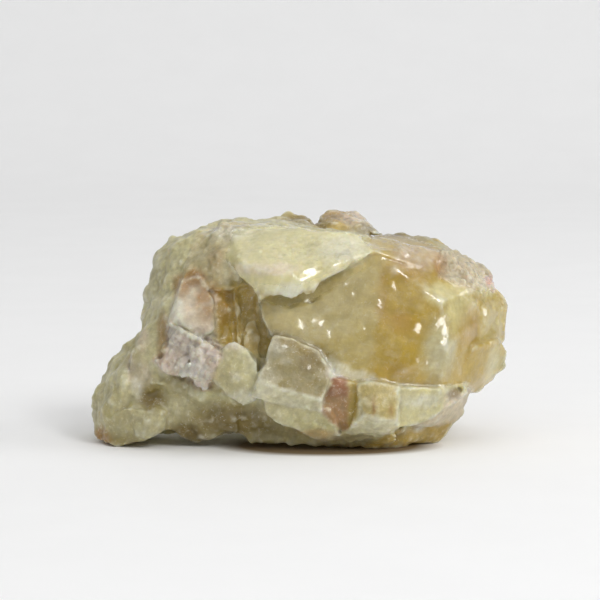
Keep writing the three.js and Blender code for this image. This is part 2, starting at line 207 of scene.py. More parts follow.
YELLOW_BLOCK = [(11.6, 13.9), (14.1, 14.7), (20, 13.5), (19.3, 6.8), (14.9, 7.2), (12.3, 7.8)]
WHITE_FOOT = [(12.3, 7.8), (14.9, 7.4), (19.3, 6.8), (19, 4.2), (16, 3.3), (10, 4.2), (10.6, 6.2)]
WHITE_STRIP = [(4.9, 19), (10.7, 16.7), (15.4, 15.1), (14, 14.1), (8.8, 14.7), (6.2, 15.3)]
PALE_BLOCK = [
    (19.6, 13.4), (27.6, 13), (33, 12.6), (33.6, 10.8), (30.8, 8.7), (27.8, 7.5), (22.8, 5),
    (19, 4.4),
]
AMBER_BLOCK = [(17, 3), (20, 4.2), (27, 4), (31, 4.8), (29.6, 2.4), (28.4, 0), (12, 0)]
STRIP = [
    (29.4, 12.2), (34.2, 10.5), (34.5, 8), (33.4, 5.8), (31.4, 4), (26, 3.8), (22, 4.2), (28, 7.6),
]
RECESS = [
    (-16.4, 31.5), (-12, 32.4), (-8, 32.4), (-7.4, 26), (-5, 23), (-0.8, 20.8), (-5, 18.5),
    (-12, 19), (-16, 21.5),
]
BROWN_LEDGE = [(14.8, 38.6), (15.5, 41.6), (19.5, 41.3), (28, 39), (28.3, 34), (24, 35), (20, 36.6)]
PINK_WEDGE = [(28, 33.6), (28, 38.6), (31.8, 38), (36, 35.8), (39.3, 33), (39, 30.3), (35, 31)]


def kinds(points):
    """How the surface grew or broke at each point, as shares of five kinds of calcite."""
    p = points + wander(points, 3, 0.5, 31)
    front = 1 - smoothstep(p[:, 1], 0, 4)
    crust = outline(p, CRUST, 1, back=-6)
    crust = np.maximum(crust, outline(p, PINK_WEDGE, 1, back=6))
    left_blocks = (MAIN_BLOCK, MAIN_BEVEL, TIER, RED_BAND, OLIVE_BAND)
    right_blocks = (YELLOW_BLOCK, WHITE_FOOT, PALE_BLOCK, STRIP)
    blocks = sum(outline(p, shape, 0.8, back=-10) for shape in left_blocks)
    blocks = blocks + sum(outline(p, shape, 0.8, back=-6) for shape in right_blocks)
    blocks = blocks + outline(p, ROUND_PLATE, 0.8, back=-12)
    blocks = blocks + outline(p, PINK_CRYSTAL, 0.8, back=-6)
    blocks = np.clip(blocks, 0, 1)
    smooth = np.maximum(outline(p, HONEY_FACE, 1.5, back=3), outline(p, UPPER_PLATE, 1, back=-4))
    smooth = smooth * (1 - blocks) * (1 - crust)
    lumpy = front * (1 - smoothstep(p[:, 0], -17, -12)) * (1 - crust) * (1 - blocks)
    lumpy = np.maximum(lumpy, 0.8 * (1 - smoothstep(p[:, 0], -34, -28)) * (1 - crust))
    broken = np.clip(1 - smooth - crust - blocks - lumpy, 0, 1)
    return {"smooth": smooth, "crust": crust, "blocks": blocks, "lumpy": lumpy, "broken": broken}


# ---------- the stone's shape ----------


class Net:
    """A mesh as arrays: its points in millimetres, their normals, and who is whose neighbour."""

    def __init__(self, mesh):
        count = len(mesh.vertices)
        self.points = np.empty(count * 3)
        mesh.vertices.foreach_get("co", self.points)
        self.points = self.points.reshape(-1, 3) / MM
        ends = np.empty(len(mesh.edges) * 2, np.int64)
        mesh.edges.foreach_get("vertices", ends)
        self.ends = ends.reshape(-1, 2)
        self.count = np.bincount(self.ends.ravel(), minlength=count)
        self.read_normals(mesh)

    def read_normals(self, mesh):
        normals = np.empty(len(mesh.vertices) * 3)
        mesh.vertex_normals.foreach_get("vector", normals)
        self.normals = normals.reshape(-1, 3)

    def neighbours_mean(self, field):
        first, second = self.ends.T
        total = np.zeros_like(field)
        if field.ndim == 1:
            total += np.bincount(first, field[second], len(field))
            total += np.bincount(second, field[first], len(field))
            return total / self.count
        return np.stack([self.neighbours_mean(column) for column in field.T], axis=1)

    def soften(self, field, rounds):
        for _ in range(rounds):
            field = 0.5 * field + 0.5 * self.neighbours_mean(field)
        return field

    def sharpness(self, rounds):
        """How far each point stands out: over 0 on an edge, and under 0 in a groove."""
        return np.einsum("ij,ij->i", self.points - self.soften(self.points, rounds), self.normals)

    def write(self, mesh):
        mesh.vertices.foreach_set("co", (self.points * MM).ravel())
        mesh.update()
        self.read_normals(mesh)


def fine_net(node):
    """A copy of a CAD node, merged and rebuilt as an even net of small faces."""
    mesh = node.data.copy()
    shell = bmesh.new()
    shell.from_mesh(mesh)
    bmesh.ops.remove_doubles(shell, verts=shell.verts, dist=0.01 * MM)
    shell.to_mesh(mesh)
    shell.free()
    mesh.materials.clear()
    stone = bpy.data.objects.new("calcite_stone", mesh)
    bpy.context.scene.collection.objects.link(stone)
    remesh = stone.modifiers.new("even_net", "REMESH")
    remesh.mode = "VOXEL"
    remesh.voxel_size = NET * MM
    settle(stone)
    return stone


def settle(piece):
    """Makes what a piece's modifiers give its own mesh."""
    seen = piece.evaluated_get(bpy.context.evaluated_depsgraph_get())
    mesh = bpy.data.meshes.new_from_object(seen)
    piece.modifiers.clear()
    piece.data = mesh


# Small facets that mirror the pane, on the honey face, the blocks, the plate, the ridge
# and the right end: X, Z and half-width
FACETS = [
    (0.8, 25.3, 0.8), (2.9, 26.1, 0.6), (4.9, 24.7, 0.9), (6.3, 23.6, 0.6), (16.4, 29.2, 0.7),
    (23.6, 24.7, 0.9), (18.9, 32.9, 0.6), (13.1, 24.7, 0.5), (28, 25.6, 0.9), (28.4, 23.8, 0.9),
    (28, 22.2, 0.7), (23.4, 18.4, 0.6), (24.8, 17.2, 0.6), (26.9, 17.4, 0.5), (9.6, 32.9, 0.5),
    (10.7, 31, 0.5), (21.3, 38, 0.9), (16, 40.4, 0.7), (-2.6, 21.4, 0.4), (2.4, 17.2, 0.4),
    (28.3, 11.6, 0.7), (21.2, 9.4, 0.35), (22.5, 9, 0.3), (23.8, 9.2, 0.35), (25, 9, 0.4),
    (26.2, 9.3, 0.45), (27, 8.9, 0.35), (-3.4, 8.7, 0.35), (-0.8, 7.9, 0.35), (1.5, 7, 0.3),
    (3.6, 6, 0.35), (5, 5.2, 0.4), (-11.9, 29, 0.3), (-11.8, 27.6, 0.35), (-11.9, 26.4, 0.3),
    (-18, 35.6, 0.3), (-25, 37.4, 0.5), (-11, 38.6, 0.5), (-2.6, 36.6, 0.4), (-1.2, 31.6, 0.6),
    (12.7, 44.1, 1.2), (11.4, 43.8, 0.5), (40.2, 26.6, 0.9), (41, 28.6, 0.6), (41.2, 24.8, 0.5),
    (38.6, 29.6, 0.5), (36.4, 30.4, 0.5), (34.4, 31, 0.5), (32.4, 31.6, 0.45), (39.4, 20.4, 0.4),
    (40.6, 18.8, 0.4), (35.6, 28.4, 0.4), (37.4, 27.2, 0.4), (33, 29.8, 0.35),
]
# The way that each of them faces, which sends the light of the pane to the front
MIRRORS = np.array(Vector((0.244, -0.891, 0.382)).normalized())
# Where smaller ones lie scattered: middle, radii and how many
SCATTERED = [
    ((37, -4, 30), (7, 9, 3.4), 50), ((41, -1, 22), (2.5, 7, 9), 16),
    ((24, -12, 40), (9, 8, 1.4), 14), ((28, -16, 24.5), (1.6, 5, 3.5), 6),
    ((29, -15, 10.5), (5, 5, 2), 12), ((-14, -8, 43), (9, 8, 1.6), 8),
    ((36, -4, 34), (5, 6, 3), 12), ((11, 12, 44), (5, 6, 1.6), 8), ((-20, -18, 20), (6, 5, 5), 22),
    ((-11.6, -11, 26), (1, 4, 5), 8), ((3, -17, 38), (12, 6, 4), 10),
    ((-12, -18, 15), (5, 5, 5), 8), ((-34, -10, 12), (7, 8, 12), 10), ((0, -18, 8), (8, 5, 4), 10),
]


def mirrors(points, normals):
    """1 on the small facets that mirror the pane, and 0 elsewhere."""
    smallest, largest = 0.2, 0.5  # half-widths of the scattered ones
    front_half, ridge_top = -7, 43.2  # where the others may lie, in Y and in Z
    places = []
    front = np.flatnonzero((points[:, 1] < front_half) | (points[:, 2] > ridge_top))
    for x, z, half in FACETS:
        nearest = front[np.argmin(np.hypot(points[front, 0] - x, points[front, 2] - z))]
        places.append((points[nearest], 1.2 * half))
    rng = np.random.default_rng(7)
    facing = normals @ MIRRORS
    for centre, radii, count in SCATTERED:
        inside = np.flatnonzero((spot(points, centre, radii) > 0.5) & (facing > 0.4))
        if len(inside):
            chosen = rng.choice(inside, count)
            places += [(points[i], rng.uniform(smallest, largest)) for i in chosen]
    share = np.zeros(len(points))
    for centre, half in places:
        near = np.flatnonzero(np.abs(points - centre).max(axis=1) < 2 * half)
        off = (points[near] - centre) / np.array((0.75, 1, 1.2))
        away = np.linalg.norm(off, axis=1) / half
        share[near] = np.maximum(share[near], 1 - smoothstep(away, 0.7, 1.3))
    return share


def ragged_rim(points):
    """The lower edge of the upper plate, broken into uneven scallops."""
    band = outline(points, PLATE_RIM, 2, back=-13)
    scallops = np.array([noise.noise((x / 2.4, 5.1, z / 9)) for x, _, z in points.tolist()])
    nicks = np.array([noise.noise((x / 0.8, 1.7, z / 5)) for x, _, z in points.tolist()])
    reach, set_back = 2.2, 1.2
    fade = 1 - smoothstep(points[:, 0], 3, 8)
    return band * (reach * (scallops + 0.15 * nicks) - set_back) * fade


def relief(points, edge):
    """How far the surface moves out at each point, in millimetres."""
    kind = kinds(points)
    swells = waves(points, size=9, seed=12)
    large = waves(points, size=5, seed=1)
    middle = waves(points, size=2.1, seed=2)
    small = waves(points, size=0.9, seed=3)
    lobes = cobbles(points, size=7, seed=10)
    grains = cobbles(points, size=1.6, seed=11)
    strength = smoothstep(waves(points, size=7, seed=4), -0.4, 0.3)
    honey_side = smoothstep(points[:, 0], -10, 2)
    back = smoothstep(points[:, 1], 0, 8)
    slabs, flakes, crumbs = (
        (1 - honey_side) * rhombs(points, GREY_PLANES, size, seed)
        + honey_side * rhombs(points, HONEY_PLANES, size, seed)
        for size, seed in ((4.4, 5), (1.9, 6), (0.9, 7))
    )
    honey_steps = stairs(points, HONEY_PLANES[0], pitch=4.1, seed=8)
    grey_steps = stairs(points, GREY_PLANES[1], pitch=4.6, seed=9)
    steps = honey_side * honey_steps + (1 - honey_side) * grey_steps

    # each kind of calcite: how far each pattern lifts it, in millimetres
    smooth = 0.3 * large + 0.04 * middle + 0.1 * slabs * strength + 0.05 * flakes * strength
    lumpy = 0.9 * swells + 0.3 * large + 0.15 * middle + 0.15 * small
    lumpy = lumpy + 0.7 * lobes + 0.3 * grains + 0.35 * flakes * strength
    crust = 0.5 * middle + 0.85 * flakes + 0.6 * crumbs + 0.2 * small
    blocks = 0.12 * large + 0.06 * middle + 0.12 * flakes * strength
    broken = 0.6 * large + 0.15 * middle + 0.45 * (steps - 1) * strength + 0.06 * small
    broken = broken + (0.6 + 0.6 * back) * slabs + (0.25 + 0.25 * back) * flakes
    height = (
        kind["smooth"] * smooth
        + kind["lumpy"] * lumpy
        + kind["crust"] * crust
        + kind["blocks"] * blocks
        + kind["broken"] * broken
    )
    chip_depth = 0.5
    loosened = smoothstep(crumbs + 0.7 * flakes + 0.5 * cloud(points, size=3.2, seed=25), 0.25, 0.6)
    return height - chip_depth * (smoothstep(edge, 0.02, 0.2) * loosened)


# Steps and pits that wore round: middle, radii and how far
SOFTENED = [
    ((37, -8, 18), (5, 10, 6), 0.85),
    ((30.3, -16, 12.6), (2.6, 5, 2.6), 1.0),
    ((-13.1, -14, 37.3), (2, 6, 2), 1.0),
]
# How far each kind of calcite is worn round, from 0 to 1
ROUNDED = {"lumpy": 0.9, "broken": 0.5, "crust": 0.4, "smooth": 0.15}


def shape_stone():
    """The whole stone: the CAD body as a fine net, worn, grained and thinned out."""
    stone = fine_net(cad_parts[NODE])
    mesh = stone.data
    net = Net(mesh)
    kind = kinds(net.points)
    rounded = sum(share * kind[name] for name, share in ROUNDED.items())
    for centre, radii, strength in SOFTENED:
        rounded = np.maximum(rounded, strength * spot(net.points, centre, radii))
    rounded = rounded[:, None]
    net.points = net.soften(net.points, rounds=1)
    net.points = rounded * net.soften(net.points, rounds=40) + (1 - rounded) * net.points
    loose = (1 - 0.5 * kind["blocks"] - 0.7 * kind["smooth"])[:, None]
    broad = wander(net.points, size=3.6, reach=0.8, seed=60)
    tight = wander(net.points, size=1.4, reach=0.2, seed=63)
    net.points = net.points + loose * (broad + tight)
    net.points[:, 2] += ragged_rim(net.points)
    net.write(mesh)
    edge = net.sharpness(rounds=8)
    smooth_normals = net.soften(net.normals, rounds=3)
    smooth_normals /= np.linalg.norm(smooth_normals, axis=1)[:, None]
    net.points = net.points + smooth_normals * relief(net.points, edge)[:, None]
    net.points = np.clip(net.points, LOW, HIGH)
    net.write(mesh)
    thin = stone.modifiers.new("thinner_net", "DECIMATE")
    thin.ratio = min(1, MOST_TRIANGLES / (2 * len(mesh.polygons)))
    settle(stone)
    even_out(stone.data)
    for polygon in stone.data.polygons:
        polygon.use_smooth = True
    return stone


def even_out(mesh, rounds=4, pull=0.6):
    """Slides the points along the surface, so that no face is left a sliver or folded over."""
    net = Net(mesh)
    for _ in range(rounds):
        move = net.neighbours_mean(net.points) - net.points
        outwards = np.einsum("ij,ij->i", move, net.normals)[:, None]
        net.points = np.clip(net.points + pull * (move - outwards * net.normals), LOW, HIGH)
        net.write(mesh)


# ---------- what the stone's material needs to know ----------


def thickness(net, mesh, most=12.0):
    """How much stone lies straight under each point, in millimetres."""
    faces = [tuple(polygon.vertices) for polygon in mesh.polygons]
    tree = BVHTree.FromPolygons([vertex.co for vertex in mesh.vertices], faces)
    depths = np.full(len(net.points), most)
    below_skin = 0.15
    starts = (net.points - below_skin * net.normals) * MM
    for i, (start, normal) in enumerate(zip(starts.tolist(), net.normals.tolist())):
        hit = tree.ray_cast(Vector(start), -Vector(normal), most * MM)
        if hit[3] is not None:
            depths[i] = hit[3] / MM
    return depths


# The tints that fill an outline: the tint, the outline, how strong it is, the blur of its border
# and how far back it reaches
FILLS = [
    ("honey", BROWN_LEDGE, 0.7, 1, 8),
    ("honey", AMBER_BLOCK, 0.8, 1, 14),
    ("honey", OLIVE_BAND, 0.9, 0.6, -14),
    ("honey", YELLOW_BLOCK, 0.7, 0.6, -14),
    ("honey", PINK_WEDGE, 0.35, 1, 6),
    ("honey", TAN_SHOULDER, 0.35, 1, 0),
    ("pale", UPPER_PLATE, 1, 0.8, -3),
    ("pale", PALE_BLOCK, 0.9, 0.7, -4),
    ("pale", WHITE_FOOT, 0.9, 0.7, -4),
    ("pale", YELLOW_BLOCK, 0.35, 0.7, -4),
    ("pale", STRIP, 0.2, 0.7, -4),
    ("olive", MAIN_BLOCK, 0.6, 1.6, -16),
    ("olive", OLIVE_BAND, 0.4, 0.6, -14),
    ("rose", CRUST, 1, 1.2, -6),
    ("rose", PINK_CRYSTAL, 0.7, 1, -6),
    ("rose", PINK_WEDGE, 0.5, 1, 6),
    ("rose", TAN_SHOULDER, 0.2, 1, 0),
    ("rose", STRIP, 0.6, 0.8, 6),
    ("rose", RED_BAND, 0.5, 0.6, -14),
    ("rust", RED_BAND, 0.75, 0.6, -14),
    ("milk", WHITE_STRIP, 0.6, 0.8, -10),
    ("milk", MAIN_BEVEL, 0.4, 0.6, -16),
    ("milk", WHITE_FOOT, 0.4, 0.6, -14),
    ("dark", MAIN_BLOCK, 0.35, 1.6, -16),
]

# The tints that lie in spots: the tint, its middle and radii, and how strong it is. The dark spots
# in the holes, clefts and pocket, and under the overhangs, are painted shade.
TINTS = [
    # the honey face and what lies round it
    ("honey", (20, -15, 24), (5, 6, 9), 0.5),
    ("rust", (20, -15, 25.5), (3, 5, 2.6), 0.35),
    ("rust", (16.5, -15, 30), (1.2, 5, 6), 0.25),
    ("rust", (19.5, -15, 16), (3, 5, 2.4), 0.3),
    ("rust", (22, -14, 35.5), (5, 5, 2.5), 0.3),
    ("rust", (28.2, -10, 36.2), (1.4, 4, 2.6), 0.8),
    ("rust", (33, -9, 24), (2.6, 6, 4), 0.35),
    ("pale", (29, -16, 31), (4, 4, 2.6), 0.8),
    ("pale", (36, -4, 31), (5, 6, 2), 0.8),
    ("pale", (31.4, -13, 28.6), (3.6, 8, 4.6), 0.75),
    ("pale", (38, -2, 24.5), (3.4, 8, 5), 0.45),
    ("grey", (4, -15, 27), (11, 8, 7), 0.4),
    ("grey", (9, -15, 20), (8, 8, 4), 0.25),
    # painted shade in the clefts along the top
    ("dark", (27, -2, 40.6), (9, 12, 1.3), 0.35),
    ("dark", (18, 6, 41.6), (6, 8, 1.6), 0.45),
    ("dark", (1.5, 10, 43), (4.5, 6, 1.6), 0.45),
    ("pale", (38, -1, 17), (3, 5, 5), 0.8),
    ("pale", (24, -14, 40), (4, 4, 1.2), 0.7),
    ("rose", (24, -10, 37.5), (6, 8, 2.4), 0.6),
    ("grey", (27.5, -16, 20), (3.6, 5, 6), 0.8),
    ("grey", (9, -15, 34), (6, 6, 4), 0.35),
    ("olive", (12, -15, 31), (3.6, 5, 4), 0.25),
    # the upper plate and the ridge
    ("rose", (-6.4, -19, 36), (6, 4, 1.3), 0.5),
    ("rust", (-16, -14, 38), (2, 4, 2.4), 0.35),
    ("milk", (9, -15, 40), (4.5, 5, 3), 0.5),
    ("pale", (-10, -16, 33.6), (3.4, 5, 1.6), 0.7),
    ("pale", (-13, -15, 37), (2, 5, 2.4), 0.6),
    ("milk", (-2, -20.5, 32), (3, 3, 1.4), 0.8),
    ("milk", (-14, -9, 42), (5, 6, 1.4), 0.4),
    ("olive", (2, 10, 42.5), (6, 5, 2), 0.9),
    ("olive", (17, 6, 41), (6, 5, 2), 0.8),
    ("rust", (7.5, 13, 44), (3, 6, 2), 0.5),
    ("rose", (12, 12, 43), (4, 5, 2), 0.8),
    ("rose", (38.4, 0, 31.6), (2.2, 4, 1.8), 1.0),
    ("pink", (38.6, 0, 31.4), (1.6, 4, 1.6), 0.7),
    # the recess and the pink crystal
    ("olive", (-10, -11, 29), (1.7, 5, 3.4), 0.8),
    ("olive", (-12.8, -12, 33), (1.8, 4, 1.2), 0.7),
    # painted shade in the holes of the recess
    ("dark", (-7, -10, 22.6), (1.9, 8, 3.2), 0.2),
    ("dark", (-13.4, -10, 30.6), (1.1, 8, 1.8), 0.6),
    ("rust", (-17.4, -14, 30), (2.4, 5, 3.2), 0.7),
    ("honey", (-14.4, -11, 26), (3, 6, 6), 0.7),
    ("rust", (-20.2, -12, 33.6), (2.6, 5, 1.6), 0.95),
    ("milk", (-22.8, -16, 24), (2.8, 4, 1.5), 0.7),
    ("rust", (-14.6, -11, 27.6), (1.7, 3, 4), 0.45),
    ("milk", (-11.5, -18.5, 22.2), (3.6, 3.4, 0.8), 0.7),
    ("rose", (-12.5, -18.5, 21.4), (3.8, 3.4, 1.2), 0.6),
    ("olive", (-14.2, -12, 22.6), (1.6, 3, 2.6), 0.6),
    ("grey", (-9.3, -12, 22.6), (1.1, 3, 3), 0.9),
    ("rust", (-26.4, -12, 21.5), (1.2, 5, 5), 0.7),
    ("rust", (-23.2, -12, 32), (1.8, 6, 2.4), 0.75),
    ("rust", (-16.4, -17, 14.6), (1.6, 4, 2.6), 0.4),
    ("milk", (-24, -16, 22.5), (2, 3, 3), 0.4),
    ("milk", (-23.6, -15, 27), (1.4, 4, 4), 0.7),
    ("rust", (-18, -14, 28.5), (2.2, 4, 3.6), 0.45),
    ("rose", (-20.5, -14, 24.6), (3, 4, 1.6), 0.9),
    ("milk", (-20, -18.5, 20), (2.4, 3, 1.6), 0.5),
    ("milk", (-20.6, -18, 16), (3.4, 5, 2.6), 0.6),
    ("olive", (-12.4, -18, 15), (3.4, 4, 4.4), 0.35),
    ("rust", (-17.4, -16, 17.6), (1.1, 5, 1.4), 0.5),
    # the left mass
    ("milk", (-30.5, -2, 34), (3, 12, 9), 0.3),
    ("rose", (-30.6, -12, 22), (1.2, 6, 3.2), 0.6),
    ("rose", (-32.8, -12, 16), (1.1, 6, 3), 0.6),
    ("rose", (-30.8, -13, 14), (2.3, 5, 3.6), 0.45),
    ("milk", (-31.6, -14, 11.6), (1, 6, 2), 0.5),
    ("pale", (-38.6, -5, 7), (1.4, 6, 6), 0.6),
    ("pale", (-33, -12, 10), (3.5, 4, 4), 0.4),
    ("olive", (-33, -8, 19), (4, 6, 4), 0.35),
    ("olive", (-28.6, -15, 10.4), (2.8, 6, 2.8), 1.0),
    # painted shade in the pocket and under the overhangs at the bottom
    ("dark", (-29.4, -15, 9.8), (2.4, 6, 1.9), 0.6),
    ("dark", (-22, -10, 2.4), (5, 8, 2.6), 0.6),
    ("dark", (-13, -11, 5), (9, 7, 3), 0.45),
    ("olive", (-22, -10, 3), (5, 6, 3), 1.0),
    ("olive", (-13, -13, 6), (9, 5, 4), 0.9),
    ("olive", (-24, -14, 12), (3, 4, 2), 0.5),
    ("olive", (-34, -9, 1.5), (5, 6, 1.8), 0.7),
    ("olive", (-35, -9, 6), (7, 8, 5), 0.35),
    ("pale", (-20, -8, 40), (8, 9, 4), 0.4),
    ("pale", (-30, -6, 33), (4, 8, 6), 0.3),
    ("rust", (-38.4, -6, 1.4), (2.4, 6, 2), 0.8),
    # the blocks
    ("rust", (3, -17, 3.6), (5, 4, 1.4), 0.5),
    ("rust", (14.7, -20, 9.6), (0.5, 4, 2.2), 0.9),
    ("rust", (18.1, -19, 8.6), (0.6, 4, 1.6), 0.7),
    ("milk", (-4, -20, 20.7), (1.7, 4, 2.1), 0.45),
    ("rose", (-20, -16, 23.4), (4.6, 6, 1), 0.9),
    ("milk", (-18.6, -16, 22.6), (3, 6, 0.7), 0.8),
    ("milk", (-5.4, -22, 16), (2.2, 4, 2), 0.3),
    ("olive", (2.6, -20, 18), (4.6, 5, 3.4), 0.95),
    ("olive", (-1, -22, 15.4), (4.4, 5, 1.8), 0.6),
    ("dark", (3, -20, 19.4), (3, 5, 1.6), 0.25),
    # painted shade in the notch by the pale block
    ("dark", (30.7, -16, 11.1), (1.3, 5, 1.3), 0.7),
    ("milk", (24.4, -15, 3.8), (1.8, 5, 1.2), 0.9),
    ("pale", (21.8, -14, 2), (6, 8, 1.6), 0.35),
    ("milk", (34, -10, 10), (1.6, 5, 1.4), 0.6),
    ("milk", (-6, -23, 20), (1.6, 3, 4), 0.25),
    ("milk", (7, -20, 15.8), (2.6, 3, 0.9), 0.9),
    ("milk", (-7.5, -20, 18), (1.2, 3, 4), 0.6),
    ("milk", (23.5, -18, 10.2), (4, 3, 1.4), 0.7),
    ("milk", (-10.5, -21, 11), (3, 3, 1.6), 0.5),
]


def tints(points):
    """How much of each tint there is at each point, from 0 to 1."""
    drift = wander(points, size=2.6, reach=1, seed=41)
    fine_drift = wander(points, size=0.8, reach=1, seed=44)
    p = points + 0.6 * drift + 0.2 * fine_drift
    names = (
        "honey", "pale", "olive", "rose", "rust", "red",
        "milk", "grey", "pink", "dark", "rim", "recess",
    )
    amount = {name: np.zeros(len(p)) for name in names}

    ragged_border = points[:, 0] + 5 * cloud(points, size=9, seed=50)
    honey_back = smoothstep(points[:, 1], 2, 6) * smoothstep(ragged_border, -6, 4)
    past_crease = smoothstep(p[:, 0] - 0.15 * (p[:, 2] - 25), 14.4, 15.8)
    honey_front = outline(p, HONEY_FACE, 1.2, back=12) * (0.62 + 0.3 * past_crease)
    amount["honey"] = np.maximum(honey_front, 0.85 * honey_back)
    for name, corners, strength, blur, back in FILLS:
        amount[name] = np.maximum(amount[name], strength * outline(p, corners, blur, back=back))
    amount["red"] = amount["rust"] * (0.25 + 0.75 * smoothstep(p[:, 2], 10.4, 12))

    under_top = 1 - smoothstep(p[:, 2], 36, 38)
    round_foot = 1 - smoothstep(p[:, 2], 14, 18)
    left_edge = 1 - smoothstep(p[:, 0], -4, 2)
    # painted light: bright rims along the edges of the plates, blocks and crystal, where light
    # shines through thin calcite
    rims = (
        (UPPER_PLATE, 0.9 * under_top, -8),
        (ROUND_PLATE, 0.9 * round_foot, -12),
        (MAIN_BLOCK, 0.5, -14),
        (MAIN_BEVEL, 0.6, -14),
        (TIER, 0.6, -12),
        (PALE_BLOCK, 0.6, -8),
        (YELLOW_BLOCK, 0.4, -8),
        (WHITE_FOOT, 0.5, -8),
        (PINK_CRYSTAL, 0.6, -8),
        (HONEY_FACE, 0.7 * left_edge, -8),
    )
    crisp = points + 0.25 * drift
    for corners, strength, back in rims:
        amount["rim"] = np.maximum(amount["rim"], strength * rim(crisp, corners, 1.1, back=back))
    # painted glow: the recess and the amber block take a deep honey tint and glow faintly, as if
    # lit through the stone
    in_recess = outline(points, RECESS, 1, front=-14, back=2)
    amount["recess"] = np.maximum(in_recess, 0.8 * outline(points, AMBER_BLOCK, 2, back=-4))
    for name, centre, radii, strength in TINTS:
        amount[name] = np.maximum(amount[name], strength * spot(p, centre, radii, 0.9))
    return amount


# Where small crystal faces lie every way and sparkle: middle and radii
SPARKLING_SPOTS = [
    ((37, -4, 30), (7, 8, 3.5)), ((41, -1, 23), (2.5, 6, 9)), ((24, -12, 40), (8, 8, 1.6)),
    ((28, -16, 24.5), (1.6, 5, 3.5)), ((29, -15, 11), (5, 5, 2)), ((-14, -8, 43), (8, 8, 1.6)),
    ((36, -4, 34), (5, 6, 3)), ((10, 12, 43), (6, 6, 3)), ((-20, -18, 20), (5, 5, 4)),
    ((-11.6, -11, 26), (1, 4, 5)), ((3, -17, 39), (10, 6, 4)),
]


def sparkling(points, kind):
    """How much the surface sparkles at each point."""
    spots = sum(spot(points, centre, radii, 0.9) for centre, radii in SPARKLING_SPOTS)
    return np.clip(spots + 0.5 * kind["crust"] + 0.25 * kind["broken"], 0, 1)


def add_attribute(mesh, name, values):
    attribute = mesh.attributes.new(name, "FLOAT", "POINT")
    attribute.data.foreach_set("value", np.clip(values, 0, 1).astype(np.float32))


def describe_stone(stone):
    """Writes on the stone's points what its material reads."""
    mesh = stone.data
    net = Net(mesh)
    for name, values in tints(net.points).items():
        add_attribute(mesh, name, values)
    kind = kinds(net.points)
    honey_side = smoothstep(net.points[:, 0], -9, -8)
    for name, size, seed in (("grain_tone", 5.5, 70), ("flake_tone", 2.0, 71)):
        grey_tone = grain_tones(net.points, GREY_PLANES, size, seed)
        honey_tone = grain_tones(net.points, HONEY_PLANES, size, seed)
        add_attribute(mesh, name, (1 - honey_side) * grey_tone + honey_side * honey_tone)
    add_attribute(mesh, "crusty", kind["crust"])
    add_attribute(mesh, "sparkling", sparkling(net.points, kind))
    plate_edge = outline(net.points, PLATE_RIM, 1, back=-13)
    around_edge = outline(net.points, PLATE_RIM, 2, back=-13)
    polish = np.maximum(kind["smooth"], 0.1 * kind["blocks"])
    add_attribute(mesh, "glossy", polish * (1 - 0.7 * plate_edge))
    add_attribute(mesh, "satin", np.maximum(kind["blocks"], around_edge))
    add_attribute(mesh, "glint", mirrors(net.points, net.normals))
    standing_out = net.soften(net.sharpness(rounds=6), rounds=1)
    lying_deep = -net.soften(net.sharpness(rounds=14), rounds=1)
    outside_recess = 1 - 0.8 * outline(net.points, RECESS, 1, front=-14)
    depth = net.soften(thickness(net, mesh), rounds=2)
    # painted light: paler along edges that stand out, as highlights along them, partly the frosted
    # white of worn edges
    add_attribute(mesh, "edge_wear", smoothstep(standing_out, 0.045, 0.15))
    # painted shade: darker in grooves and hollows, except in the recess
    add_attribute(mesh, "groove", smoothstep(lying_deep, 0.06, 0.4) * outside_recess)
    # painted light: paler where the stone is thin, as if light shone through it
    add_attribute(mesh, "thin_rim", 1 - smoothstep(depth, 1.2, 5))


# ---------- materials ----------


class Value:
    """A socket of a material's nodes, in sums with numbers and with others of its kind."""

    def __init__(self, board, socket):
        self.board = board
        self.socket = socket

    def math(self, operation, *terms):
        return self.board.add("ShaderNodeMath", {"operation": operation}, dict(enumerate(terms)))

    def __add__(self, other):
        return self.math("ADD", self, other)

    def __sub__(self, other):
        return self.math("SUBTRACT", self, other)

    def __mul__(self, other):
        return self.math("MULTIPLY", self, other)

    def __rsub__(self, other):
        return self.math("SUBTRACT", other, self)

    __radd__ = __add__
    __rmul__ = __mul__


